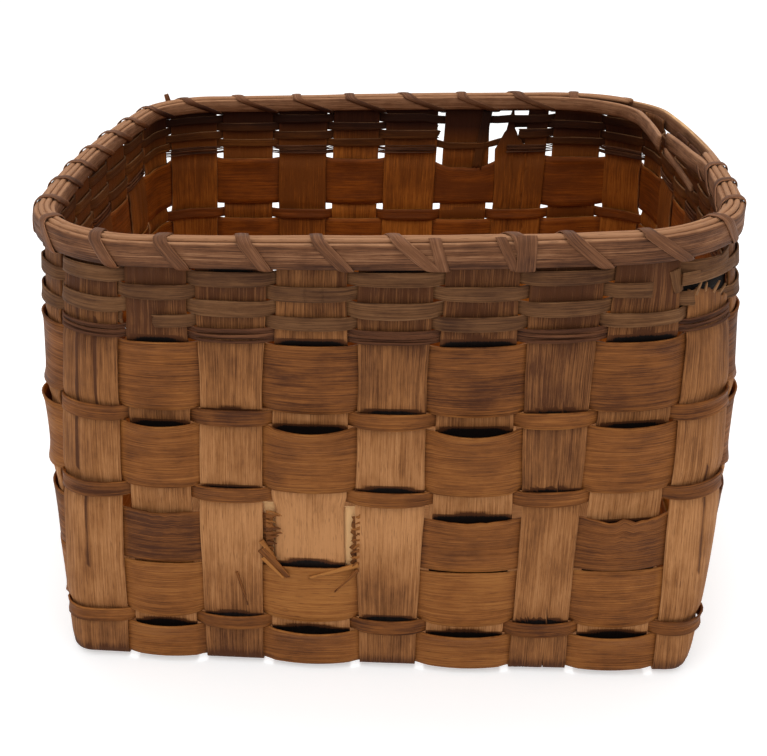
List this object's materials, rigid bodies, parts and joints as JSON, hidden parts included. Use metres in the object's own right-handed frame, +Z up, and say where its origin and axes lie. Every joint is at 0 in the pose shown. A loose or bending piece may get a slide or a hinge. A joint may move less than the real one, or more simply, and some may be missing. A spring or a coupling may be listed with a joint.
{
  "type": "splint basket",
  "caption": "Open rectangular wood-splint basket: flat stakes and wide and narrow weavers, a plaited foot, and a lashed double-hoop rim.",
  "frame": {"origin": "middle of the footprint, on the ground under the foot", "axes": "+X along the long sides, towards the right of the picture; +Z up; the pictured front is at -Y"},
  "size_m": [0.3779, 0.3516, 0.2467],
  "materials": {
    "stake_wood": "aged split wood, unvarnished",
    "weaver_wood": "aged split wood, warm orange brown, slightly polished by use",
    "trim_wood": "aged split wood, grey brown",
    "fibre_wood": "dark twisted fibre",
    "rim_wood": "dark split wood, worn pale on the edges",
    "lashing_wood": "dark thin splint, worn"
  },
  "bodies": {
    "root": {"long_stake_1": "stake_wood", "long_stake_2": "stake_wood", "long_stake_3": "stake_wood", "long_stake_4": "stake_wood", "long_stake_5": "stake_wood", "long_stake_6": "stake_wood", "long_stake_7": "stake_wood", "long_stake_8": "stake_wood", "long_stake_9": "stake_wood", "short_stake_1": "stake_wood", "short_stake_2": "stake_wood", "short_stake_3": "stake_wood", "short_stake_4": "stake_wood", "short_stake_5": "stake_wood", "short_stake_6": "stake_wood", "short_stake_7": "stake_wood", "short_stake_8": "stake_wood", "foot_weaver": "weaver_wood", "narrow_weaver_1": "weaver_wood", "wide_weaver_1": "weaver_wood", "wide_weaver_2": "weaver_wood", "narrow_weaver_2": "weaver_wood", "wide_weaver_3": "weaver_wood", "narrow_weaver_3": "weaver_wood", "wide_weaver_4": "weaver_wood", "trim_weaver_1": "trim_wood", "trim_weaver_2": "trim_wood", "trim_weaver_3": "trim_wood", "trim_weaver_4": "trim_wood", "fibre_weaver": "fibre_wood", "outer_hoop": "rim_wood", "inner_hoop": "rim_wood", "inner_hoop_patch": "rim_wood", "outer_filler": "rim_wood", "inner_filler": "rim_wood", "rim_lashing": "lashing_wood"}
  },
  "joints": []
}
